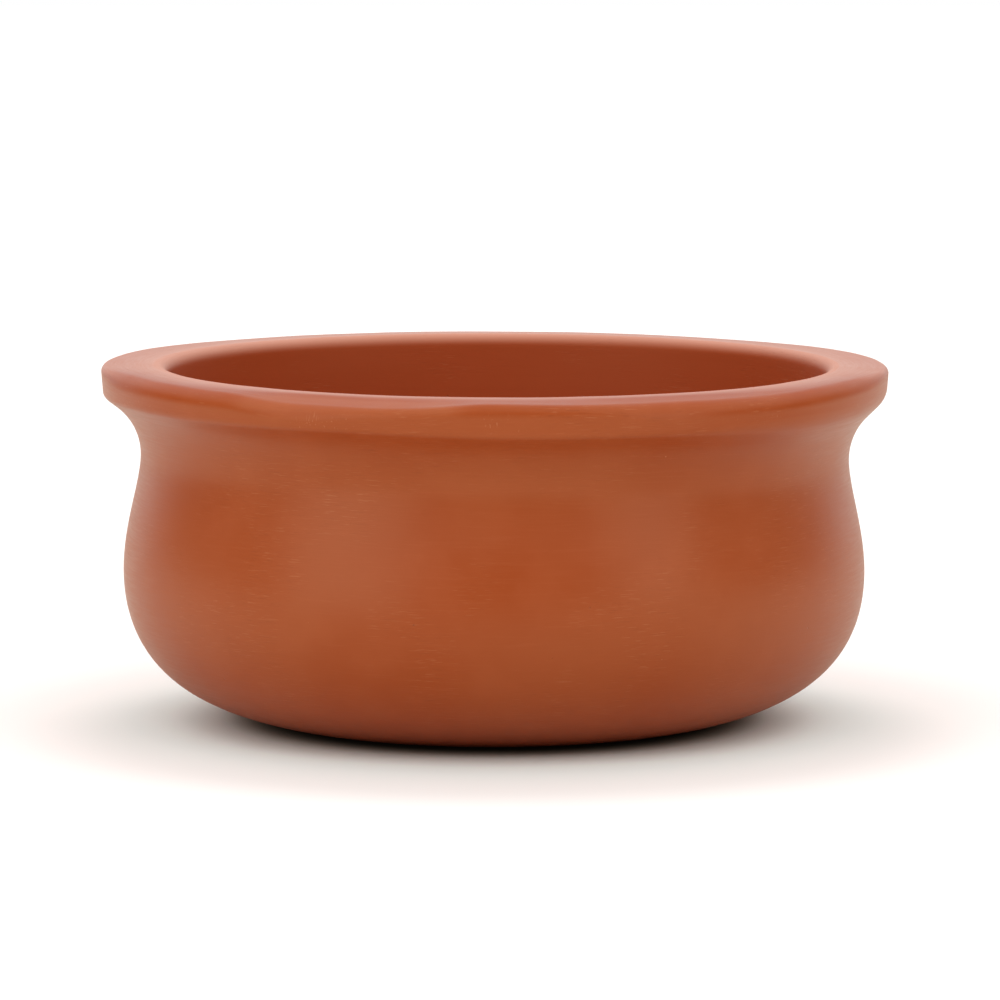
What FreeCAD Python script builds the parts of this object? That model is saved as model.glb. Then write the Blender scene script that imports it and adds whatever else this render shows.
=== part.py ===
import FreeCAD, Part
import math
import os

# Clay biryani pot: one thrown piece of unglazed fired clay, round about its own axis.
# Millimetres, +Z up, origin at the centre of the flat foot.
# The section is drawn as radius and height in the XZ plane, then turned once about Z.

# Overall
HEIGHT = 109.5              # foot to the highest edge of the lip
RIM_RADIUS = 120.0          # axis to the lip's upper outer corner

# Lip
LIP_DEPTH = 8.6             # height of the lip's outer side
LIP_TAPER = 0.7             # the side's lower corner stands in by this much
LIP_FALL = 0.8              # the top falls by this much from its inner to its outer edge
LIP_OVERHANG = 12.2         # the lip stands out past the neck by this much
LIP_UNDERCUT_ANGLE = 40.0   # degrees, slope of the lip's underside
LIP_INNER_ROUND = 3.5       # edge of the mouth
LIP_OUTER_ROUND = 2.5       # upper outer edge
LIP_LOWER_ROUND = 6.8       # lower outer edge

# Neck and belly
NECK_ROUND = 19.6           # hollow between the lip's underside and the neck
NECK_EASE = 8.6             # how far below its narrowest place the neck stays near upright
BELLY_SWELL = 5.1           # the belly stands out past the neck by this much
BELLY_HEIGHT = 45.7         # foot to the widest place of the belly
SHOULDER_EASE = 13.8        # how far above its widest place the belly stays near upright

# Foot and heel
FOOT_RADIUS = 62.0          # flat foot that the pot stands on
HEEL_LIFT_ANGLE = 9.0       # degrees, slope of the underside where it leaves the foot

# Wall
WALL = 7.7                  # level thickness of the neck, the belly and the mouth
FLOOR = 9.0                 # thickness over the foot


def point(radius, height):
    """A point of the section."""
    return FreeCAD.Vector(radius, 0, height)


def direction(degrees):
    """A unit vector in the section, measured from outward towards up."""
    angle = math.radians(degrees)
    return point(math.cos(angle), math.sin(angle))


def line(start, end):
    return Part.LineSegment(start, end).toShape()


def curve(*poles, spans=1):
    """A smooth curve in equal spans, which leaves its first pole towards the second and ends along its last
    two poles."""
    edges = []
    for span in range(spans):
        bezier = Part.BezierCurve()
        bezier.setPoles(list(poles))
        bezier.segment(span / spans, (span + 1) / spans)
        edges.append(bezier.toShape())
    return edges


def arc_middle(centre, start, end):
    """The point that halves the shorter arc from start to end about centre."""
    towards_middle = (start + end) * 0.5 - centre
    return centre + towards_middle.normalize() * (start - centre).Length


def arc(centre, start, end):
    """The shorter arc from start to end about centre."""
    return Part.Arc(start, arc_middle(centre, start, end), end).toShape()


def rounded(before, corner, after, radius):
    """The two half arcs that round a corner, with the points where they meet its straight sides."""
    to_before = (before - corner).normalize()
    to_after = (after - corner).normalize()
    half_angle = to_before.getAngle(to_after) / 2
    reach = radius / math.tan(half_angle)
    start = corner + to_before * reach
    end = corner + to_after * reach
    centre = corner + (to_before + to_after).normalize() * (radius / math.sin(half_angle))
    middle = arc_middle(centre, start, end)
    return [arc(centre, start, middle), arc(centre, middle, end)], start, end


def outer_face(neck_radius, belly_radius):
    """Edges of the outside, from the axis under the foot, up to the lip's upper outer corner."""
    underside = direction(LIP_UNDERCUT_ANGLE)
    away = direction(LIP_UNDERCUT_ANGLE - 90)
    lip_top = point(RIM_RADIUS, HEIGHT - LIP_FALL)
    lip_bottom = point(RIM_RADIUS - LIP_TAPER, HEIGHT - LIP_FALL - LIP_DEPTH)

    # The neck's hollow is a circle that touches the lip's underside and the neck
    inward = (lip_bottom.x + away.x * NECK_ROUND - neck_radius - NECK_ROUND) / underside.x
    hollow_centre = lip_bottom - underside * inward + away * NECK_ROUND
    hollow_top = hollow_centre - away * NECK_ROUND
    neck = point(neck_radius, hollow_centre.z)

    belly = point(belly_radius, BELLY_HEIGHT)
    foot = point(FOOT_RADIUS, 0)
    heel_rise = (belly_radius - FOOT_RADIUS) * math.tan(math.radians(HEEL_LIFT_ANGLE))
    lower_round, lower_start, lower_end = rounded(hollow_top, lip_bottom, lip_top, LIP_LOWER_ROUND)
    edges = [
        line(point(0, 0), foot),
        *curve(foot, point(belly_radius, heel_rise), belly, spans=4),
        *curve(belly, belly + point(0, SHOULDER_EASE), neck - point(0, NECK_EASE), neck),
        arc(hollow_centre, neck, hollow_top),
        line(hollow_top, lower_start),
        *lower_round,
    ]
    return edges, neck, lower_end, lip_top


def inner_face(mouth_top, neck, belly_radius):
    """Edges of the inside, from below the rounded edge of the mouth, down to the axis."""
    neck_inside = neck - point(WALL, 0)
    belly_inside = point(belly_radius - WALL, BELLY_HEIGHT)

    # From its widest place the inside is one round down to the level floor
    heel_centre = belly_inside - point(BELLY_HEIGHT - FLOOR, 0)
    floor_edge = point(heel_centre.x, FLOOR)
    return [
        line(mouth_top, neck_inside),
        *curve(neck_inside, neck_inside - point(0, NECK_EASE),
               belly_inside + point(0, SHOULDER_EASE), belly_inside),
        arc(heel_centre, belly_inside, floor_edge),
        line(floor_edge, point(0, FLOOR)),
    ]


def section():
    """The closed half section of the pot's wall, with one side on the axis."""
    neck_radius = RIM_RADIUS - LIP_OVERHANG
    belly_radius = neck_radius + BELLY_SWELL
    outside, neck, side_start, lip_top = outer_face(neck_radius, belly_radius)
    mouth = point(neck_radius - WALL, HEIGHT)
    outer_round, side_end, top_start = rounded(side_start, lip_top, mouth, LIP_OUTER_ROUND)
    inner_round, top_end, mouth_top = rounded(lip_top, mouth, point(mouth.x, neck.z), LIP_INNER_ROUND)
    lip = [line(side_start, side_end), *outer_round, line(top_start, top_end), *inner_round]
    inside = inner_face(mouth_top, neck, belly_radius)
    axis = line(point(0, FLOOR), point(0, 0))
    return Part.Wire(outside + lip + inside + [axis])


def clay_pot():
    """Foot, belly, neck and lip are one wall, turned in one piece."""
    return Part.Face(section()).revolve(point(0, 0), point(0, 1), 360)


os.makedirs("parts", exist_ok=True)
clay_pot().exportStep("parts/clay_pot.step")
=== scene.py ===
import functools
import math

import bpy
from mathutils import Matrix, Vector


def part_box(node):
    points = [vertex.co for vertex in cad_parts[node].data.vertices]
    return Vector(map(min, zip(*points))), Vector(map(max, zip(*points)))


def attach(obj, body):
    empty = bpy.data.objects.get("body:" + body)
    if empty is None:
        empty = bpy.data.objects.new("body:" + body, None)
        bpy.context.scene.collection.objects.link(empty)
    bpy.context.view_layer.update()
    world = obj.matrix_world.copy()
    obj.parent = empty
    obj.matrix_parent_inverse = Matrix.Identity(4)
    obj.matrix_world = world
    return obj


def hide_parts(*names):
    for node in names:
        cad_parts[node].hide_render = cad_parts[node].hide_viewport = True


bl_info = {
    "name": "Clay biryani pot",
    "version": (1, 0, 0),
    "blender": (4, 5, 0),
    "location": "3D View > Sidebar > Clay pot",
    "description": "The finished clay pot on a pale studio floor",
    "category": "Add Mesh",
}

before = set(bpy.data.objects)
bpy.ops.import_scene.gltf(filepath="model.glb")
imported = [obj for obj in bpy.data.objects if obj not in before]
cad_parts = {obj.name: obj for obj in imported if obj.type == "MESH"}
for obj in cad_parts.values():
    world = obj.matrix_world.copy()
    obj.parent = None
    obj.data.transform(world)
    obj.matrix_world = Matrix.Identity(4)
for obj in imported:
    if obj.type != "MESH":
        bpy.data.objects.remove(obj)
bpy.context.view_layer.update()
POT_LOW, POT_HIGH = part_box("clay_pot")
MM = 0.001

# The floor lies this far below the lowest point of the pot's frame
BOX_MARGIN = 0.03 * MM
FRAME_RADIUS = min(POT_HIGH.x, POT_HIGH.y, -POT_LOW.x, -POT_LOW.y)

# Where the lip's edge is pressed down, the slope starts at this share of the top's way out from the mouth
RIDGE_SHARE = 0.38
# A stretch of the section is measured in this many pieces; a level one is drawn in steps this much longer
PIECES = 12
LEVEL_STEP = 3
LEVEL = 1e-9
# Points this close are one
MERGE = 0.01 * MM

FLOOR_HALF = 6.0
# The paper floor as the camera sees it: painted shadow tints under the pot and beside it, and the paper's own tone
# away from it; and near the pot, a painted warm bounce where it lights the pot
PAINTED_SHADOW_UNDER = "#F0E6D2"
PAINTED_SHADOW_BESIDE = "#F5FFFB"
PAPER_AWAY = "#F4F0ED"
PAINTED_BOUNCE_NEAR = "#E2CDBE"
SENSOR_WIDTH = 36.0
WHITE = "#FFFFFF"
# Soft boxes: name, degrees round from the camera to its right, width, and share of the box level
SOFT_BOXES = (("soft_box_left", -44, 0.9, 1.0), ("soft_box_right", 48, 0.55, 0.93))
BOX_HEIGHT = 0.9
BOX_DISTANCE = 1.3
BOX_ELEVATION = math.radians(10)


class PotSizes(bpy.types.PropertyGroup):
    """Sizes of the pot's wall, in metres."""

    height: bpy.props.FloatProperty(
        name="Height", description="Foot to the highest edge of the lip", subtype="DISTANCE", default=109.3 * MM)
    rim_radius: bpy.props.FloatProperty(
        name="Rim radius", description="Axis to the lip's upper outer corner", subtype="DISTANCE",
        default=119.85 * MM)
    lip_depth: bpy.props.FloatProperty(
        name="Lip depth", description="Height of the lip's outer side", subtype="DISTANCE", default=8.6 * MM)
    lip_taper: bpy.props.FloatProperty(
        name="Lip taper", description="How far the side's lower corner stands in", subtype="DISTANCE",
        default=0.7 * MM)
    lip_fall: bpy.props.FloatProperty(
        name="Lip fall", description="Fall of the lip's top towards its outer edge", subtype="DISTANCE",
        default=0.8 * MM)
    lip_overhang: bpy.props.FloatProperty(
        name="Lip overhang", description="How far the lip stands out past the neck", subtype="DISTANCE",
        default=11.95 * MM)
    undercut: bpy.props.FloatProperty(
        name="Undercut", description="Slope of the lip's underside", subtype="ANGLE", default=math.radians(37))
    inner_round: bpy.props.FloatProperty(
        name="Mouth round", description="Round of the mouth's edge", subtype="DISTANCE", default=3.5 * MM)
    outer_round: bpy.props.FloatProperty(
        name="Outer round", description="Round of the lip's upper outer edge", subtype="DISTANCE",
        default=1.9 * MM)
    lower_round: bpy.props.FloatProperty(
        name="Lower round", description="Round of the lip's lower outer edge", subtype="DISTANCE",
        default=2.6 * MM)
    neck_round: bpy.props.FloatProperty(
        name="Neck round", description="Hollow between the lip and the neck", subtype="DISTANCE",
        default=19.6 * MM)
    neck_ease: bpy.props.FloatProperty(
        name="Neck ease", description="How far the neck stays near upright", subtype="DISTANCE",
        default=8.6 * MM)
    belly_swell: bpy.props.FloatProperty(
        name="Belly swell", description="How far the belly stands out past the neck", subtype="DISTANCE",
        default=5.1 * MM)
    belly_height: bpy.props.FloatProperty(
        name="Belly height", description="Foot to the widest place of the belly", subtype="DISTANCE",
        default=45.7 * MM)
    shoulder_ease: bpy.props.FloatProperty(
        name="Shoulder ease", description="How far the belly stays near upright", subtype="DISTANCE",
        default=13.8 * MM)
    foot_radius: bpy.props.FloatProperty(
        name="Foot radius", description="Radius of the flat foot", subtype="DISTANCE", default=62.0 * MM)
    heel_lift: bpy.props.FloatProperty(
        name="Heel lift", description="Slope of the underside where it leaves the foot", subtype="ANGLE",
        default=math.radians(7.6))
    wall: bpy.props.FloatProperty(
        name="Wall", description="Thickness of the wall", subtype="DISTANCE", default=7.7 * MM)
    floor: bpy.props.FloatProperty(
        name="Floor", description="Thickness over the foot", subtype="DISTANCE", default=9.0 * MM)
    step: bpy.props.FloatProperty(
        name="Step", description="Distance between rings of the mesh", subtype="DISTANCE", default=1.3 * MM)
    steps_around: bpy.props.IntProperty(
        name="Steps around", description="Points of each ring of the mesh", default=352, min=24)


class HandMarks(bpy.types.PropertyGroup):
    """How far the hand-made pot leaves a true round, in metres."""

    rim_tilt: bpy.props.FloatProperty(
        name="Rim tilt", description="How much lower the rim's right side is", subtype="DISTANCE",
        default=0.7 * MM)
    front_dip: bpy.props.FloatProperty(
        name="Front dip", description="How much lower the rim is towards the viewer", subtype="DISTANCE",
        default=0.35 * MM)
    mouth_shift: bpy.props.FloatProperty(
        name="Mouth shift", description="How far the mouth lies off the lip's middle", subtype="DISTANCE",
        default=0.6 * MM)
    sway: bpy.props.FloatProperty(
        name="Sway", description="Unevenness of the wall that a palm would feel", subtype="DISTANCE",
        default=2.4 * MM)
    lip_wave: bpy.props.FloatProperty(
        name="Lip wave", description="Unevenness of the lip's edges", subtype="DISTANCE", default=0.4 * MM)
    rings: bpy.props.FloatProperty(
        name="Turning rings", description="Depth of the rings left by the wheel", subtype="DISTANCE",
        default=0.06 * MM)
    soft_undercut: bpy.props.FloatProperty(
        name="Soft undercut", description="Slope of the lip's underside where it is soft", subtype="ANGLE",
        default=math.radians(45))
    soft_round: bpy.props.FloatProperty(
        name="Soft round", description="Round of the lip's lower edge where it is soft", subtype="DISTANCE",
        default=7.5 * MM)
    worn_round: bpy.props.FloatProperty(
        name="Worn round", description="Round of the lip's upper outer edge where it is worn", subtype="DISTANCE",
        default=4.4 * MM)
    pressed_round: bpy.props.FloatProperty(
        name="Pressed round", description="Round of the lip's upper outer edge where it is pressed down",
        subtype="DISTANCE", default=2.0 * MM)
    bevel: bpy.props.FloatProperty(
        name="Bevel", description="How far the lip's upper outer edge is pressed down in places",
        subtype="DISTANCE", default=1.9 * MM)
    deeper: bpy.props.FloatProperty(
        name="Deeper", description="How far the lip's lower edge hangs down in front", subtype="DISTANCE",
        default=1.1 * MM)
    seed: bpy.props.IntProperty(name="Seed", description="Picks another uneven pot", default=10)


class ClayFinish(bpy.types.PropertyGroup):
    """Colours of the burnished clay."""

    body: bpy.props.StringProperty(name="Body", description="Colour of most of the clay", default="#9B4620")
    rich: bpy.props.StringProperty(name="Rich", description="Redder, well burnished clay", default="#984018")
    pale: bpy.props.StringProperty(name="Pale", description="Drier, paler clay", default="#A24D28")
    raw: bpy.props.StringProperty(name="Raw", description="Clay inside, not burnished", default="#A8461F")
    # Partly painted: this pale tone also stands in for the sheen and top light on the lip's top and the mouth's
    # inner round
    dry_and_sheen: bpy.props.StringProperty(name="Dry", description="Dry clay on the lip's top", default="#C68974")
    dust: bpy.props.StringProperty(name="Dust", description="Grit and fettling marks", default="#D79A72")
    soot: bpy.props.StringProperty(name="Soot", description="Pits and dark scratches", default="#6A2C14")
    sheen: bpy.props.StringProperty(name="Sheen", description="Tint of what the clay mirrors", default="#FFF0CB")
    roughness: bpy.props.FloatProperty(
        name="Roughness", description="Roughness of the burnished wall", subtype="FACTOR",
        default=0.36, min=0, max=1)


class StudioSetting(bpy.types.PropertyGroup):
    """Camera, floor and lamps."""

    camera_distance: bpy.props.FloatProperty(
        name="Camera distance", description="Camera to the pot's axis, level", subtype="DISTANCE", default=1.920)
    camera_height: bpy.props.FloatProperty(
        name="Camera height", description="Camera above the floor", subtype="DISTANCE", default=0.2866)
    camera_shift: bpy.props.FloatProperty(
        name="Camera side step", description="Camera to the right of the axis", subtype="DISTANCE",
        default=1.56 * MM)
    camera_tilt: bpy.props.FloatProperty(
        name="Camera tilt", description="How far the camera looks down", subtype="ANGLE", default=0.114)
    lens: bpy.props.FloatProperty(
        name="Lens", description="Focal length in millimetres on a 36 mm sensor", default=227.8)
    box_level: bpy.props.FloatProperty(
        name="Box level", description="Brightness of each soft box, where 1 is white", default=1.74)
    top_level: bpy.props.FloatProperty(
        name="Top level", description="Brightness of the ceiling, where 1 is white", default=1.55)
    back_level: bpy.props.FloatProperty(
        name="Back level", description="Brightness of the wall behind the pot", default=1.1)
    front_level: bpy.props.FloatProperty(
        name="Front level", description="Brightness of the room beside and behind the camera", default=0.15)
    wall_tone: bpy.props.StringProperty(
        name="Walls", description="Colour of the room's dim walls", default="#FFE2B8")
    floor_tone: bpy.props.StringProperty(
        name="Floor", description="Colour of the floor", default="#E6DFD2")
    floor_shown: bpy.props.FloatProperty(
        name="Floor shown", description="How much brighter than its colour the floor is", default=1.05)


def linear(tone):
    """An sRGB hex colour as linear red, green, blue and alpha."""
    shares = [int(tone[i:i + 2], 16) / 255 for i in (1, 3, 5)]
    return tuple(s / 12.92 if s <= 0.04045 else ((s + 0.055) / 1.055) ** 2.4 for s in shares) + (1.0,)


def add_node(tree, kind, *values, output=0, **settings):
    """The output of a new node with these settings. Its first inputs take the values, or a dict names or numbers
    the inputs; each value is a plain one, or the socket that feeds the input."""
    node = tree.nodes.new(kind)
    for name, value in settings.items():
        setattr(node, name, value)
    inputs = values[0] if values and isinstance(values[0], dict) else dict(enumerate(values))
    for key, value in inputs.items():
        if isinstance(value, bpy.types.NodeSocket):
            tree.links.new(value, node.inputs[key])
        else:
            node.inputs[key].default_value = value
    return node.outputs[output]


def place(radius, height):
    """A point of the section."""
    return Vector((radius, 0.0, height))


def direction(angle):
    """A unit vector in the section, measured from outward towards up."""
    return place(math.cos(angle), math.sin(angle))


def straight(start, end):
    """A straight stretch of the section, as a function of the share of its way."""
    return lambda share: start.lerp(end, share)


def bend(*poles):
    """A Bezier curve on these poles."""
    def at(share):
        row = poles
        while len(row) > 1:
            row = [a.lerp(b, share) for a, b in zip(row, row[1:])]
        return row[0]
    return at


def rounding(centre, start, end):
    """The shorter arc from start to end about centre."""
    first, last = start - centre, end - centre
    turn = first.angle(last)
    return lambda share: centre + (
        first * math.sin(turn * (1 - share)) + last * math.sin(turn * share)) / math.sin(turn)


def corner(before, at, after, radius):
    """The arc that rounds a corner, with its start and its end."""
    to_before, to_after = (before - at).normalized(), (after - at).normalized()
    half = to_before.angle(to_after) / 2
    start = at + to_before * radius / math.tan(half)
    end = at + to_after * radius / math.tan(half)
    centre = at + (to_before + to_after).normalized() * radius / math.sin(half)
    return rounding(centre, start, end), start, end


def wall_stretches(size, undercut, lower_round, outer_round, lip_depth, bevel):
    """The stretches of the pot's half section: those from the axis under the foot, up the outside and over the
    lip, and those from the mouth's edge down the inside to the axis. A bevel presses the top's outer half down."""
    neck_radius = size.rim_radius - size.lip_overhang
    belly_radius = neck_radius + size.belly_swell
    slope = direction(undercut)
    away = direction(undercut - math.pi / 2)
    lip_edge = place(size.rim_radius, size.height - size.lip_fall)
    lip_bottom = lip_edge - place(size.lip_taper, lip_depth)
    reach = (lip_bottom.x + away.x * size.neck_round - neck_radius - size.neck_round) / slope.x
    hollow_centre = lip_bottom - slope * reach + away * size.neck_round
    hollow_top = hollow_centre - away * size.neck_round
    neck = place(neck_radius, hollow_centre.z)
    belly = place(belly_radius, size.belly_height)
    foot = place(size.foot_radius, 0)
    heel = place(belly_radius, (belly_radius - size.foot_radius) * math.tan(size.heel_lift))
    mouth = place(neck_radius - size.wall, size.height)
    ridge = mouth.lerp(lip_edge, RIDGE_SHARE)
    lip_top = lip_edge - place(0, bevel)
    lower, lower_start, lower_end = corner(hollow_top, lip_bottom, lip_top, lower_round)
    outer, outer_start, outer_end = corner(lower_end, lip_top, ridge, outer_round)
    inner, inner_start, inner_end = corner(ridge, mouth, place(mouth.x, neck.z), size.inner_round)
    shoulder_pole, neck_pole = place(0, size.shoulder_ease), place(0, size.neck_ease)
    outside = [
        straight(place(0, 0), foot),
        bend(foot, heel, belly),
        bend(belly, belly + shoulder_pole, neck - neck_pole, neck),
        rounding(hollow_centre, neck, hollow_top),
        straight(hollow_top, lower_start),
        lower,
        straight(lower_end, outer_start),
        outer,
        straight(outer_end, ridge),
        straight(ridge, inner_start),
    ]
    neck_inside = neck - place(size.wall, 0)
    belly_inside = belly - place(size.wall, 0)
    heel_centre = belly_inside - place(size.belly_height - size.floor, 0)
    floor_edge = place(heel_centre.x, size.floor)
    inside = [
        inner,
        straight(inner_end, neck_inside),
        bend(neck_inside, neck_inside - neck_pole, belly_inside + shoulder_pole, belly_inside),
        rounding(heel_centre, belly_inside, floor_edge),
        straight(floor_edge, place(0, size.floor)),
    ]
    return outside, inside


def steps_for(stretch, step, finest=math.radians(11)):
    """How many steps a stretch takes, so that none is longer than step or turns by more than finest."""
    points = [stretch(i / PIECES) for i in range(PIECES + 1)]
    chords = [b - a for a, b in zip(points, points[1:])]
    turn = sum(a.angle(b) for a, b in zip(chords, chords[1:]))
    length = sum(c.length for c in chords)
    # The level foot and floor need few rings
    if abs(chords[0].z) + abs(chords[-1].z) < LEVEL:
        step = step * LEVEL_STEP
    return max(1, math.ceil(length / step), math.ceil(turn / finest))


def section_mesh(size, marks):
    """The section with a crisp lip, as a line of points. Each keeps its distance along the wall, whether it lies
    inside the mouth, and how far it moves where the lip is soft, worn, bevelled or deeper."""
    lips = {
        "crisp": (size.undercut, size.lower_round, size.outer_round, size.lip_depth, 0.0),
        "soft": (marks.soft_undercut, marks.soft_round, size.outer_round, size.lip_depth, 0.0),
        "worn": (size.undercut, size.lower_round, marks.worn_round, size.lip_depth, 0.0),
        "bevelled": (size.undercut, size.lower_round, marks.pressed_round, size.lip_depth, marks.bevel),
        "deeper": (size.undercut, size.lower_round, size.outer_round, size.lip_depth + marks.deeper, 0.0),
    }
    lines = {name: [] for name in lips}
    walls = [wall_stretches(size, *lip) for lip in lips.values()]
    inside = []
    for side in (0, 1):
        for alike in zip(*(wall[side] for wall in walls)):
            count = max(steps_for(stretch, size.step) for stretch in alike)
            for line, stretch in zip(lines.values(), alike):
                line += [stretch(i / count) for i in range(count)]
            inside += [float(side)] * count
    for line in lines.values():
        line.append(place(0, size.floor))
    inside.append(1.0)
    points = lines.pop("crisp")
    along = [0.0]
    for a, b in zip(points, points[1:]):
        along.append(along[-1] + (b - a).length)
    mesh = bpy.data.meshes.new("wall_section")
    mesh.from_pydata(points, [(i, i + 1) for i in range(len(points) - 1)], [])
    for name, line in lines.items():
        moves = [part for moved, point in zip(line, points) for part in moved - point]
        mesh.attributes.new(name, "FLOAT_VECTOR", "POINT").data.foreach_set("vector", moves)
    mesh.attributes.new("wall_length", "FLOAT", "POINT").data.foreach_set("value", along)
    mesh.attributes.new("inside", "FLOAT", "POINT").data.foreach_set("value", inside)
    return mesh


TREE_INPUTS = (
    ("Points", "NodeSocketInt"),
    ("Steps Around", "NodeSocketInt"),
    ("Height", "NodeSocketFloat"),
    ("Belly Height", "NodeSocketFloat"),
    ("Lip Bottom", "NodeSocketFloat"),
    ("Rim Tilt", "NodeSocketFloat"),
    ("Front Dip", "NodeSocketFloat"),
    ("Mouth Shift", "NodeSocketFloat"),
    ("Sway", "NodeSocketFloat"),
    ("Lip Wave", "NodeSocketFloat"),
    ("Turning Rings", "NodeSocketFloat"),
    ("Seed", "NodeSocketFloat"),
    ("Material", "NodeSocketMaterial"),
)


def turning_tree():
    """Turns a section about the upright axis, then makes it as uneven as a hand-made pot."""
    tree = bpy.data.node_groups.new("turned_by_hand", "GeometryNodeTree")
    tree.interface.new_socket("Section", in_out="INPUT", socket_type="NodeSocketGeometry")
    for name, kind in TREE_INPUTS:
        tree.interface.new_socket(name, in_out="INPUT", socket_type=kind)
    tree.interface.new_socket("Pot", in_out="OUTPUT", socket_type="NodeSocketGeometry")
    given = tree.nodes.new("NodeGroupInput").outputs
    node = functools.partial(add_node, tree)

    # A sheet with one row for each point of the section and one column for each step around
    sheet = node("GeometryNodeMeshGrid",
                 {"Size X": 1.0, "Size Y": 1.0,
                  "Vertices X": node("ShaderNodeMath", given["Steps Around"], 1.0, operation="ADD"),
                  "Vertices Y": given["Points"]}, output="Mesh")
    across, along, _ = node("ShaderNodeSeparateXYZ", node("GeometryNodeInputPosition")).node.outputs
    share_around = node("ShaderNodeMath", across, 0.5, operation="ADD")
    share_along = node("ShaderNodeMath", along, 0.5, operation="ADD")
    row = node("ShaderNodeMath",
               node("ShaderNodeMath", share_along,
                    node("ShaderNodeMath", given["Points"], 1.0, operation="SUBTRACT"), operation="MULTIPLY"),
               operation="ROUND")
    angle = node("ShaderNodeMath", share_around, math.tau, operation="MULTIPLY")

    def section_value(name, kind="FLOAT"):
        """What the section keeps under this name, at this row's point."""
        kept = node("GeometryNodeInputNamedAttribute", {"Name": name}, data_type=kind)
        return node("GeometryNodeSampleIndex", {"Geometry": given["Section"], "Value": kept, "Index": row},
                    data_type=kind, domain="POINT")

    def towards(side, within, reach):
        """1 round this side of the pot, 0 beyond its reach; degrees, with 0 in front and 90 on the right."""
        turned_by = node("ShaderNodeMath", angle, math.radians(side - 90), operation="SUBTRACT")
        return node("ShaderNodeMapRange", node("ShaderNodeMath", turned_by, operation="COSINE"),
                    math.cos(math.radians(reach)), math.cos(math.radians(within)),
                    interpolation_type="SMOOTHSTEP")

    # The lip's lower edge is soft on the right and hangs deeper in front; its upper edge is pressed down in two
    # places, worn round next to them, and stands a little higher at both sides
    drawn = node("GeometryNodeSampleIndex",
                 {"Geometry": given["Section"], "Value": node("GeometryNodeInputPosition"), "Index": row},
                 data_type="FLOAT_VECTOR", domain="POINT")
    pressed = node("ShaderNodeMath", towards(31, 0, 32), 0.33, towards(-22, 0, 21), operation="MULTIPLY_ADD")
    raised = node("ShaderNodeMath", towards(90, 20, 50), towards(-90, 20, 50), operation="ADD")
    bevelled = node("ShaderNodeMath", raised, -0.25, pressed, operation="MULTIPLY_ADD")
    worn_places = node("ShaderNodeMath", towards(0, 10, 40), 0.35,
                       node("ShaderNodeMath", towards(-50, 14, 34), towards(46, 14, 34), operation="ADD"),
                       operation="MULTIPLY_ADD")
    for name, share in (("soft", towards(90, 26, 73)), ("worn", worn_places), ("bevelled", bevelled),
                        ("deeper", towards(28, 18, 52))):
        move = node("ShaderNodeVectorMath", {0: section_value(name, "FLOAT_VECTOR"), "Scale": share},
                    operation="SCALE")
        drawn = node("ShaderNodeVectorMath", drawn, move, operation="ADD")
        if name == "bevelled":
            pressed_by = node("ShaderNodeMath", node("ShaderNodeSeparateXYZ", move, output=2), -1.0,
                              operation="MULTIPLY")
    reach, _, rise = node("ShaderNodeSeparateXYZ", drawn).node.outputs
    turned = node("ShaderNodeCombineXYZ",
                  node("ShaderNodeMath", reach, node("ShaderNodeMath", angle, operation="COSINE"),
                       operation="MULTIPLY"),
                  node("ShaderNodeMath", reach, node("ShaderNodeMath", angle, operation="SINE"),
                       operation="MULTIPLY"),
                  rise)
    for name, value in (("wall_length", section_value("wall_length")), ("inside", section_value("inside")),
                        ("pressed_by", pressed_by), ("worn", worn_places)):
        sheet = node("GeometryNodeStoreNamedAttribute", {"Geometry": sheet, "Name": name, "Value": value},
                     data_type="FLOAT", domain="POINT")
    # The values sit on the sheet's points, so the turn comes last
    round_pot = node("GeometryNodeSetPosition", {"Geometry": sheet, "Position": turned})
    closed = node("GeometryNodeMergeByDistance", {"Geometry": round_pot, "Distance": MERGE})

    position = node("GeometryNodeInputPosition")
    x, y, z = node("ShaderNodeSeparateXYZ", position).node.outputs
    level = node("ShaderNodeCombineXYZ", x, y, 0.0)
    outward = node("ShaderNodeVectorMath", level, operation="NORMALIZE")
    radius = node("ShaderNodeVectorMath", level, output="Value", operation="LENGTH")
    wall_length, inside = (node("GeometryNodeInputNamedAttribute", {"Name": name}, data_type="FLOAT")
                           for name in ("wall_length", "inside"))

    above_belly = node("ShaderNodeMapRange", z, given["Belly Height"], given["Height"],
                       interpolation_type="SMOOTHSTEP")
    on_lip = node("ShaderNodeMapRange", z,
                  node("ShaderNodeMath", given["Lip Bottom"], 14 * MM, operation="SUBTRACT"),
                  given["Lip Bottom"], interpolation_type="SMOOTHSTEP")
    off_axis = node("ShaderNodeMath", radius, 1 / FRAME_RADIUS, operation="MULTIPLY", use_clamp=True)
    off_floor = node("ShaderNodeMapRange", z, 0.0, 12 * MM, interpolation_type="SMOOTHSTEP")

    def uneven_field(where, scale, offset, detail):
        """0 to 1 about 0.5, another one for each seed and offset."""
        seed = node("ShaderNodeMath", given["Seed"], offset, operation="ADD")
        return node("ShaderNodeTexNoise", {"Vector": where, "W": seed, "Scale": scale, "Detail": detail},
                    noise_dimensions="4D")

    def swing(field, amount):
        """The field's swing about its middle, in metres."""
        about_middle = node("ShaderNodeMath", field, 0.5, operation="SUBTRACT")
        return node("ShaderNodeMath", about_middle, amount, operation="MULTIPLY")

    # The wall leaves a true round slowly, and little at the lip
    palm = uneven_field(node("ShaderNodeVectorMath", position, (1.0, 1.0, 1.4), operation="MULTIPLY"),
                        scale=9.0, offset=0.0, detail=1.0)
    calm = node("ShaderNodeMath", node("ShaderNodeMath", off_axis, off_floor, operation="MULTIPLY"),
                node("ShaderNodeMath", on_lip, -0.85, 1.0, operation="MULTIPLY_ADD"), operation="MULTIPLY")
    sway = node("ShaderNodeMath", swing(palm, given["Sway"]), calm, operation="MULTIPLY")
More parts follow.
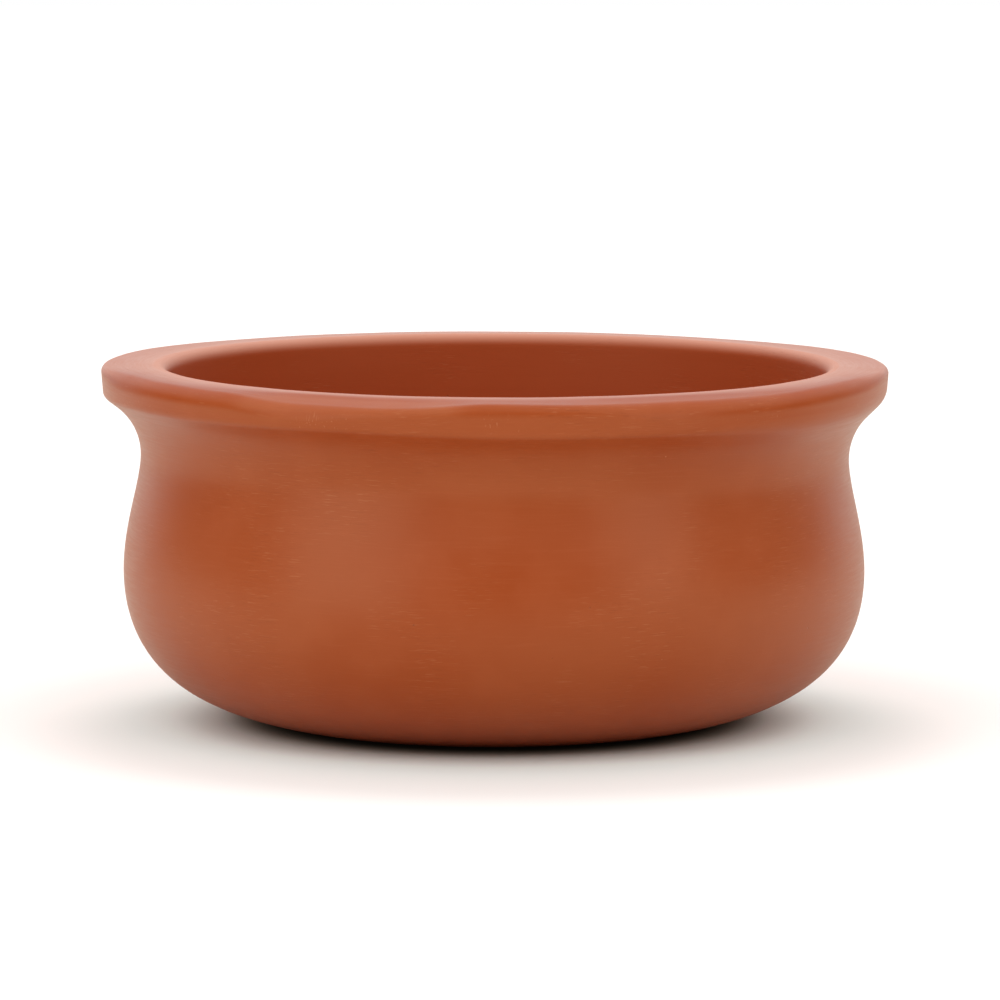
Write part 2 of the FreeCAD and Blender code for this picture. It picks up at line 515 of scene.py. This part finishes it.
    # The lip's edge wanders more quickly, and only down from the frame's height
    edge = uneven_field(level, scale=26.0, offset=3.1, detail=2.0)
    wave = node("ShaderNodeMath", swing(edge, given["Lip Wave"]), on_lip, operation="MULTIPLY")
    lower = node("ShaderNodeMath",
                 node("ShaderNodeMath", node("ShaderNodeMath", 0.7, edge, operation="SUBTRACT"),
                      given["Lip Wave"], operation="MULTIPLY"), on_lip, operation="MULTIPLY")
    # Rings left by the wheel run level round the wall, uneven in depth
    ring = uneven_field(node("ShaderNodeCombineXYZ", 0.0, 0.0, wall_length), scale=230.0, offset=8.7, detail=2.0)
    rings = node("ShaderNodeMath", swing(ring, given["Turning Rings"]), off_floor, operation="MULTIPLY")
    inward = node("ShaderNodeMath", node("ShaderNodeMath", wave, 0.2, sway, operation="MULTIPLY_ADD"), rings,
                  operation="ADD")
    shift = node("ShaderNodeMath", node("ShaderNodeMath", given["Mouth Shift"], inside, operation="MULTIPLY"),
                 above_belly, operation="MULTIPLY")
    tilt_share = node("ShaderNodeMath", node("ShaderNodeMath", x, FRAME_RADIUS, operation="DIVIDE"), 0.5, 0.5,
                      operation="MULTIPLY_ADD")
    to_front = node("ShaderNodeMapRange", node("ShaderNodeMath", y, -FRAME_RADIUS, operation="DIVIDE"), 0.2, 0.9,
                    interpolation_type="SMOOTHSTEP")
    lean = node("ShaderNodeMath", node("ShaderNodeMath", given["Rim Tilt"], tilt_share, operation="MULTIPLY"),
                node("ShaderNodeMath", given["Front Dip"], to_front, operation="MULTIPLY"), operation="ADD")
    fall = node("ShaderNodeMath", node("ShaderNodeMath", lean, above_belly, lower, operation="MULTIPLY_ADD"),
                -1.0, operation="MULTIPLY")
    drawn_in = node("ShaderNodeVectorMath", {0: outward, "Scale": inward}, operation="SCALE")
    offset = node("ShaderNodeVectorMath", drawn_in, node("ShaderNodeCombineXYZ", shift, 0.0, fall),
                  operation="ADD")
    uneven = node("GeometryNodeSetPosition", {"Geometry": closed, "Offset": offset})
    smooth = node("GeometryNodeSetShadeSmooth", {"Geometry": uneven})
    real = node("GeometryNodeRealizeInstances", {"Geometry": smooth})
    finished = node("GeometryNodeSetMaterial", {"Geometry": real, "Material": given["Material"]})
    tree.links.new(finished, tree.nodes.new("NodeGroupOutput").inputs["Pot"])
    return tree


def burnished_terracotta(finish, size):
    """Low-fired earthenware, burnished with a stone on the wheel and left unglazed.

    To the eye it is a warm orange brown with a soft, broad sheen that pales towards the edges, short level
    scratches and streaks from the stone, redder and paler patches from the fire, pale grit, a paler top of the
    lip, partly drier clay and partly painted sheen and top light, with a painted highlight along the mouth's edge
    and less paleness in front, fettling marks on its side, and a duller, redder inside."""
    material = bpy.data.materials.new("burnished_terracotta")
    material.use_nodes = True
    tree = material.node_tree
    node = functools.partial(add_node, tree)
    shader = tree.nodes["Principled BSDF"]
    coords = node("ShaderNodeTexCoord", output="Object")

    def times(*values):
        """The product of two or more values."""
        product = values[0]
        for value in values[1:]:
            product = node("ShaderNodeMath", product, value, operation="MULTIPLY")
        return product

    level = node("ShaderNodeVectorMath", coords, (1.0, 1.0, 0.0), operation="MULTIPLY")
    outward = node("ShaderNodeVectorMath", level, operation="NORMALIZE")
    height = node("ShaderNodeSeparateXYZ", coords, output=2)
    wall_length, inside, pressed_by, worn = (
        node("ShaderNodeAttribute", output="Fac", attribute_name=name)
        for name in ("wall_length", "inside", "pressed_by", "worn"))
    from_axis = node("ShaderNodeVectorMath", level, output="Value", operation="LENGTH")
    # 1 in front, at -Y, and -1 at the back
    to_front = node("ShaderNodeMath", node("ShaderNodeSeparateXYZ", outward, output=1), -1.0,
                    operation="MULTIPLY")

    def along_wall(length, across):
        """Coordinates for marks of this length round the belly and this height along the wall."""
        around = size.rim_radius / length
        spread = node("ShaderNodeVectorMath", outward, (around, around, 0.0), operation="MULTIPLY")
        drop = node("ShaderNodeCombineXYZ", {2: node("ShaderNodeMath", wall_length, across, operation="DIVIDE")})
        return node("ShaderNodeVectorMath", spread, drop, operation="ADD")

    def grit(spacing, grain, share):
        """Round grains of this size in a share of the cells of this spacing."""
        cells = node("ShaderNodeTexVoronoi", {"Vector": coords, "Scale": 1.0 / spacing}).node.outputs
        near = node("ShaderNodeMapRange", cells["Distance"], grain / spacing, 0.4 * grain / spacing,
                    interpolation_type="SMOOTHSTEP")
        chosen = node("ShaderNodeMath", cells["Color"], share, operation="LESS_THAN")
        return times(near, chosen)

    # Patches from the fire, about 59 mm wide, and clouds of about 17 mm
    patches = node("ShaderNodeTexNoise", {"Vector": coords, "Scale": 17.0, "Detail": 2.0})
    clouds = node("ShaderNodeTexNoise", {"Vector": coords, "Scale": 60.0, "Detail": 3.0})
    # Streaks of the burnishing stone, about 14 mm long and 0.6 mm high, and its broader bands
    streaks = node("ShaderNodeTexNoise",
                   {"Vector": along_wall(14 * MM, 0.6 * MM), "Scale": 1.0, "Detail": 3.0, "Roughness": 0.6})
    bands = node("ShaderNodeTexNoise", {"Vector": along_wall(50 * MM, 4 * MM), "Scale": 1.0, "Detail": 2.0})
    # Scratches about 5 mm long and 0.3 mm high, in places about 26 mm wide
    scratches = node("ShaderNodeTexNoise",
                     {"Vector": along_wall(5 * MM, 0.32 * MM), "Scale": 1.0, "Detail": 1.0})
    some_places = node("ShaderNodeMapRange",
                       node("ShaderNodeTexNoise", {"Vector": coords, "Scale": 38.0, "Detail": 1.0}), 0.45, 0.62,
                       interpolation_type="SMOOTHSTEP")
    dark_scratches = times(node("ShaderNodeMapRange", scratches, 0.62, 0.74, interpolation_type="SMOOTHSTEP"),
                           some_places)
    pale_scratches = times(node("ShaderNodeMapRange", scratches, 0.38, 0.26, interpolation_type="SMOOTHSTEP"),
                           some_places)
    # The clay's own grain, 0.7 mm, then grit and pits of a third of a millimetre
    grain = node("ShaderNodeTexNoise", {"Vector": coords, "Scale": 1500.0, "Detail": 2.0})
    pale_grit = grit(10 * MM, 0.34 * MM, 0.25)
    pits = grit(8 * MM, 0.35 * MM, 0.36)

    # The lip: a paler top, partly drier clay and partly painted sheen and top light, reaching further down the
    # mouth's inner round; and short upright fettling marks on its side, most of them low down
    lip_low = size.height - size.lip_fall - size.lip_depth
    pale_top_dry_and_sheen = node("ShaderNodeMix",
                   {0: inside,
                    2: node("ShaderNodeMapRange", height, size.height - 2.4 * MM, size.height - 1.0 * MM,
                            interpolation_type="SMOOTHSTEP"),
                    3: times(node("ShaderNodeMapRange", height, size.height - 4.2 * MM, size.height - 0.6 * MM,
                                  interpolation_type="SMOOTHSTEP"), 1.35)}, data_type="FLOAT")
    # The pale top is taken off where the edge is pressed down or worn, where hands wore it away; it is also less
    # pale in front and towards the outer edge. Least is taken at the mouth's own edge, which leaves a painted
    # highlight along it.
    pressed = node("ShaderNodeMapRange", pressed_by, 0.05 * MM, 0.9 * MM, interpolation_type="SMOOTHSTEP")
    mouth_radius = size.rim_radius - size.lip_overhang - size.wall
    to_outer_edge = times(node("ShaderNodeMapRange", from_axis, mouth_radius + 1 * MM, size.rim_radius - 3 * MM,
                               interpolation_type="SMOOTHSTEP"),
                          node("ShaderNodeMath", worn, 0.6, 0.35, operation="MULTIPLY_ADD"))
    rubbed_outside_highlight = node("ShaderNodeMath",
                  node("ShaderNodeMapRange", to_front, 0.5, 1.0, interpolation_type="SMOOTHSTEP"), 0.65,
                  to_outer_edge, operation="MULTIPLY_ADD", use_clamp=True)
    # Painted highlight: within 10 mm of the mouth's edge less is taken off, down to a tenth at the edge
    rubbed_outside_highlight = times(node("ShaderNodeMath", rubbed_outside_highlight, times(pressed, 0.95), operation="MAXIMUM"),
                   node("ShaderNodeMath",
                        node("ShaderNodeMapRange", from_axis, mouth_radius, mouth_radius + 10 * MM,
                             interpolation_type="SMOOTHSTEP"), 0.9, 0.1, operation="MULTIPLY_ADD"),
                   node("ShaderNodeMapRange", height, size.height - 6 * MM, size.height - 4 * MM,
                        interpolation_type="SMOOTHSTEP"))
    pale_top_dry_and_sheen = times(pale_top_dry_and_sheen, node("ShaderNodeMath", 1.0, rubbed_outside_highlight, operation="SUBTRACT"))
    lip_side = times(node("ShaderNodeMapRange", height, lip_low - 1.5 * MM, lip_low + 1 * MM,
                          interpolation_type="SMOOTHSTEP"),
                     node("ShaderNodeMapRange", height, size.height - 2 * MM, lip_low,
                          interpolation_type="SMOOTHSTEP"),
                     node("ShaderNodeMath", 1.0, inside, operation="SUBTRACT"))
    # Each mark is 0.5 mm wide and 1.6 mm high; they stand in places about 22 mm wide
    fettled = node("ShaderNodeTexNoise", {"Vector": along_wall(0.5 * MM, 1.6 * MM), "Scale": 1.0, "Detail": 1.0})
    marks = times(node("ShaderNodeMapRange", fettled, 0.66, 0.76, interpolation_type="SMOOTHSTEP"),
                  node("ShaderNodeMapRange",
                       node("ShaderNodeTexNoise", {"Vector": coords, "Scale": 45.0, "Detail": 1.0}), 0.5, 0.66,
                       interpolation_type="SMOOTHSTEP"), lip_side)

    colour = node("ShaderNodeMix",
                  {0: node("ShaderNodeMapRange", patches, 0.35, 0.65, interpolation_type="SMOOTHSTEP"),
                   6: linear(finish.rich), 7: linear(finish.body)}, output=2, data_type="RGBA")
    pale_clouds = node("ShaderNodeMapRange", clouds, 0.45, 0.75, interpolation_type="SMOOTHSTEP")
    pale_streaks = node("ShaderNodeMapRange", streaks, 0.5, 0.75, interpolation_type="SMOOTHSTEP")
    # Each layer lies over the one before it: where it is, how strongly it shows, and its colour
    for places, strength, tone in (
            (pale_clouds, 0.35, finish.pale),
            (pale_streaks, 0.35, finish.pale),
            (inside, 0.8, finish.raw),
            # Painted sheen and top light, partly drier clay, on the lip's top
            (pale_top_dry_and_sheen, 0.6, finish.dry_and_sheen),
            (times(pressed, rubbed_outside_highlight), 0.08, finish.dust),
            (dark_scratches, 0.18, finish.soot),
            (pits, 0.45, finish.soot),
            (pale_scratches, 0.1, finish.dust),
            (marks, 0.4, finish.dust),
            (pale_grit, 0.4, finish.dust)):
        colour = node("ShaderNodeMix", {0: times(places, strength), 6: colour, 7: linear(tone)}, output=2,
                      data_type="RGBA")
    tree.links.new(colour, shader.inputs["Base Color"])

    dull = node("ShaderNodeMath", times(inside, 0.2), times(pale_top_dry_and_sheen, 0.08), operation="MAXIMUM")
    rough = node("ShaderNodeMath", times(streaks, 0.16), times(clouds, 0.08), operation="ADD")
    rough = node("ShaderNodeMath", node("ShaderNodeMath", rough, finish.roughness - 0.12, operation="ADD"), dull,
                 operation="ADD")
    tree.links.new(rough, shader.inputs["Roughness"])
    shader.inputs["IOR"].default_value = 1.45
    # Rubbed clay mirrors less than dry or burnished clay, most of all on the lip's flat top
    on_top = node("ShaderNodeMapRange", from_axis, size.rim_radius - 0.6 * MM, size.rim_radius - 3.2 * MM,
                  interpolation_type="SMOOTHSTEP")
    matt = times(rubbed_outside_highlight, node("ShaderNodeMath", on_top, 0.4, 0.6, operation="MULTIPLY_ADD"))
    tree.links.new(node("ShaderNodeMath", matt, -0.42, 0.5, operation="MULTIPLY_ADD"),
                   shader.inputs["Specular IOR Level"])
    # Clay tints what it mirrors straight on, and mirrors white at a glance
    shader.inputs["Specular Tint"].default_value = linear(finish.sheen)

    relief = node("ShaderNodeMath", times(streaks, 0.5), times(grain, 0.25), operation="ADD")
    relief = node("ShaderNodeMath", relief, times(bands, 0.6), operation="ADD")
    relief = node("ShaderNodeMath", relief,
                  node("ShaderNodeMath", times(scratches, some_places, 0.5), times(pits, 1.5), operation="ADD"),
                  operation="SUBTRACT")
    bump = node("ShaderNodeBump", {"Height": relief, "Distance": 0.05 * MM, "Strength": 1.0})
    tree.links.new(bump, shader.inputs["Normal"])
    return material


class CLAY_OT_pot(bpy.types.Operator):
    """Turn the pot's wall and give it its burnished finish"""

    bl_idname = "clay.pot"
    bl_label = "Clay pot"

    def execute(self, context):
        size, marks = context.scene.pot_sizes, context.scene.hand_marks
        section = section_mesh(size, marks)
        maker = bpy.data.objects.new("pot_maker", section)
        context.collection.objects.link(maker)
        tree = turning_tree()
        given = {
            "Points": len(section.vertices),
            "Steps Around": size.steps_around,
            "Height": size.height,
            "Belly Height": size.belly_height,
            "Lip Bottom": size.height - size.lip_fall - size.lip_depth,
            "Rim Tilt": marks.rim_tilt,
            "Front Dip": marks.front_dip,
            "Mouth Shift": marks.mouth_shift,
            "Sway": marks.sway,
            "Lip Wave": marks.lip_wave,
            "Turning Rings": marks.rings,
            "Seed": float(marks.seed),
            "Material": burnished_terracotta(context.scene.clay_finish, size),
        }
        modifier = maker.modifiers.new("turning", "NODES")
        modifier.node_group = tree
        for item in tree.interface.items_tree:
            if item.in_out == "INPUT" and item.name in given:
                modifier[item.identifier] = given[item.name]
        evaluated = maker.evaluated_get(context.evaluated_depsgraph_get())
        mesh = bpy.data.meshes.new_from_object(evaluated)
        bpy.data.objects.remove(maker)
        if not mesh.polygons:
            raise RuntimeError("the section gave no wall")
        mesh.name = "clay_pot_wall"
        pot = bpy.data.objects.new("clay_pot_finish", mesh)
        context.collection.objects.link(pot)
        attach(pot, "root")
        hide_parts("clay_pot")
        return {"FINISHED"}


def studio_floor(setting):
    """The pale floor, wide enough that no view meets its edge."""
    mesh = bpy.data.meshes.new("studio_floor")
    lift = POT_LOW.z - BOX_MARGIN
    corners = [(FLOOR_HALF * x, FLOOR_HALF * y, lift) for x, y in ((-1, -1), (1, -1), (1, 1), (-1, 1))]
    mesh.from_pydata(corners, [], [(0, 1, 2, 3)])
    floor = bpy.data.objects.new("studio_floor", mesh)
    bpy.context.collection.objects.link(floor)
    mesh.materials.append(white_sweep(setting))


def white_sweep(setting):
    """Matte white paper. The camera sees it lighter than it lights the pot, so that it turns white away from the
    pot's shadow.
    A painted shadow darkens it under the pot, where paper and clay meet, and faintly beyond the pot's edge;
    painted tints colour that shadow and warm the light the paper throws onto the pot."""
    material = bpy.data.materials.new("white_sweep")
    material.use_nodes = True
    tree = material.node_tree
    node = functools.partial(add_node, tree)
    tree.nodes.remove(tree.nodes["Principled BSDF"])
    coords = node("ShaderNodeTexCoord", output="Object")
    from_axis = node("ShaderNodeVectorMath", coords, output="Value", operation="LENGTH")
    from_front = node("ShaderNodeVectorMath", coords, (0.0, -35 * MM, 0.0), output="Value", operation="DISTANCE")

    # Painted shadow tint, as the camera sees it: warm under the pot, cooler beside it, then the paper's own tone
    # further away
    tone = node("ShaderNodeMix",
                {0: node("ShaderNodeMapRange", from_axis, 68 * MM, 84 * MM, 0.0, 1.0,
                         interpolation_type="SMOOTHSTEP"),
                 6: linear(PAINTED_SHADOW_UNDER), 7: linear(PAINTED_SHADOW_BESIDE)}, output=2, data_type="RGBA")
    tone = node("ShaderNodeMix",
                {0: node("ShaderNodeMapRange", from_axis, 85 * MM, 150 * MM, 0.0, 1.0,
                         interpolation_type="SMOOTHSTEP"), 6: tone, 7: linear(PAPER_AWAY)}, output=2,
                data_type="RGBA")
    camera_ray = node("ShaderNodeLightPath", output="Is Camera Ray")
    # Painted bounce: near the pot the paper lights the clay in a warmer tone than the rest of the floor
    light = node("ShaderNodeMix",
                 {0: node("ShaderNodeMapRange", from_axis, 80 * MM, 140 * MM, 0.0, 1.0,
                          interpolation_type="SMOOTHSTEP"), 6: linear(PAINTED_BOUNCE_NEAR), 7: linear(setting.floor_tone)},
                 output=2, data_type="RGBA")
    paper = node("ShaderNodeMix", {0: camera_ray, 6: light, 7: tone}, output=2, data_type="RGBA")
    # Painted contact shadow: within 65 mm of the axis the paper falls to a tenth of its tone, rising to full by 85
    # mm, both as the camera sees it and as it lights the pot
    level = node("ShaderNodeMath",
                 node("ShaderNodeMapRange", from_axis, 65 * MM, 85 * MM, 0.1, 1.0,
                      interpolation_type="SMOOTHSTEP"), setting.floor_shown, operation="MULTIPLY")
    # Painted shadow: a faint outer dip of up to 12 % beyond about 95 mm from the axis, which reaches further in
    # front than at the sides
    painted_outer_shadow = node("ShaderNodeMath",
                 node("ShaderNodeMapRange", from_axis, 95 * MM, 112 * MM, 0.0, 1.0,
                      interpolation_type="SMOOTHSTEP"),
                 node("ShaderNodeMapRange", from_front, 108 * MM, 150 * MM, 0.12, 0.0,
                      interpolation_type="SMOOTHSTEP"), operation="MULTIPLY")
    level = node("ShaderNodeMath", level, node("ShaderNodeMath", 1.0, painted_outer_shadow, operation="SUBTRACT"),
                 operation="MULTIPLY")
    shown = node("ShaderNodeVectorMath", {0: paper, "Scale": level}, operation="SCALE")
    matte = node("ShaderNodeBsdfDiffuse", {"Color": shown})
    tree.links.new(matte, tree.nodes["Material Output"].inputs["Surface"])
    return material


def soft_box(name, azimuth, elevation, distance, width, height, level):
    """A soft box that faces the pot; azimuth 0 is behind the camera and grows to the right."""
    lamp = bpy.data.lights.new(name, "AREA")
    lamp.shape = "RECTANGLE"
    lamp.size, lamp.size_y = width, height
    lamp.energy = level * math.pi * width * height
    thing = bpy.data.objects.new(name, lamp)
    aim = Vector((0.0, 0.0, (POT_LOW.z + POT_HIGH.z) / 2))
    away = Vector((math.sin(azimuth) * math.cos(elevation), -math.cos(azimuth) * math.cos(elevation),
                   math.sin(elevation)))
    thing.location = aim + away * distance
    thing.rotation_euler = away.to_track_quat("Z", "Y").to_euler()
    bpy.context.collection.objects.link(thing)


def white_room(setting):
    """The room: white where the camera sees it, with a bright ceiling, a white wall behind the pot, and dim
    beside and behind the camera."""
    world = bpy.data.worlds.new("white_room")
    world.use_nodes = True
    tree = world.node_tree
    node = functools.partial(add_node, tree)
    background = tree.nodes["Background"]
    _, depth, up = node("ShaderNodeSeparateXYZ", node("ShaderNodeTexCoord", output="Generated")).node.outputs

    def lit(tone, level):
        """The tone as light at this level, where 1 shows it as written."""
        return tuple(level * share for share in linear(tone)[:3]) + (1.0,)

    walls = node("ShaderNodeMix",
                 {0: node("ShaderNodeMapRange", depth, 0.42, 0.88, interpolation_type="SMOOTHSTEP"),
                  6: lit(setting.wall_tone, setting.front_level), 7: lit(WHITE, setting.back_level)},
                 output=2, data_type="RGBA")
    room = node("ShaderNodeMix",
                {0: node("ShaderNodeMapRange", up, 0.2, 0.7, interpolation_type="SMOOTHSTEP"),
                 6: walls, 7: lit(WHITE, setting.top_level)}, output=2, data_type="RGBA")
    camera_ray = node("ShaderNodeLightPath", output="Is Camera Ray")
    shown = node("ShaderNodeMix", {0: camera_ray, 6: room, 7: linear(WHITE)}, output=2, data_type="RGBA")
    tree.links.new(shown, background.inputs["Color"])
    bpy.context.scene.world = world


class CLAY_OT_stage(bpy.types.Operator):
    """Set the floor, the white room, the soft boxes and the camera"""

    bl_idname = "clay.stage"
    bl_label = "Studio"

    def execute(self, context):
        setting = context.scene.studio_setting
        studio_floor(setting)
        white_room(setting)
        for name, azimuth, width, share in SOFT_BOXES:
            soft_box(name, math.radians(azimuth), BOX_ELEVATION, BOX_DISTANCE, width, BOX_HEIGHT,
                     share * setting.box_level)
        camera = bpy.data.cameras.new("camera")
        camera.sensor_width = SENSOR_WIDTH
        camera.lens = setting.lens
        thing = bpy.data.objects.new("camera", camera)
        thing.location = (setting.camera_shift, -setting.camera_distance, setting.camera_height)
        thing.rotation_euler = (math.pi / 2 - setting.camera_tilt, 0.0, 0.0)
        context.collection.objects.link(thing)
        context.scene.camera = thing
        context.scene.view_settings.view_transform = "Standard"
        return {"FINISHED"}


class CLAY_PT_sidebar(bpy.types.Panel):
    """Lists what the add-on builds and its sizes"""

    bl_idname = "CLAY_PT_sidebar"
    bl_label = "Clay pot"
    bl_space_type = "VIEW_3D"
    bl_region_type = "UI"
    bl_category = "Clay pot"

    def draw(self, context):
        for owner, operator in (("pot_sizes", "clay.pot"), ("hand_marks", None), ("clay_finish", None),
                                ("studio_setting", "clay.stage")):
            box = self.layout.box()
            group = getattr(context.scene, owner)
            for name in group.bl_rna.properties.keys():
                if name not in ("rna_type", "name"):
                    box.prop(group, name)
            if operator:
                box.operator(operator)


GROUPS = {
    "pot_sizes": PotSizes,
    "hand_marks": HandMarks,
    "clay_finish": ClayFinish,
    "studio_setting": StudioSetting,
}
CLASSES = (*GROUPS.values(), CLAY_OT_pot, CLAY_OT_stage, CLAY_PT_sidebar)


def register():
    for cls in CLASSES:
        bpy.utils.register_class(cls)
    for name, cls in GROUPS.items():
        setattr(bpy.types.Scene, name, bpy.props.PointerProperty(type=cls))


def unregister():
    for name in GROUPS:
        delattr(bpy.types.Scene, name)
    for cls in reversed(CLASSES):
        bpy.utils.unregister_class(cls)


def main():
    register()
    bpy.ops.clay.pot()
    bpy.ops.clay.stage()


if __name__ == "__main__":
    main()
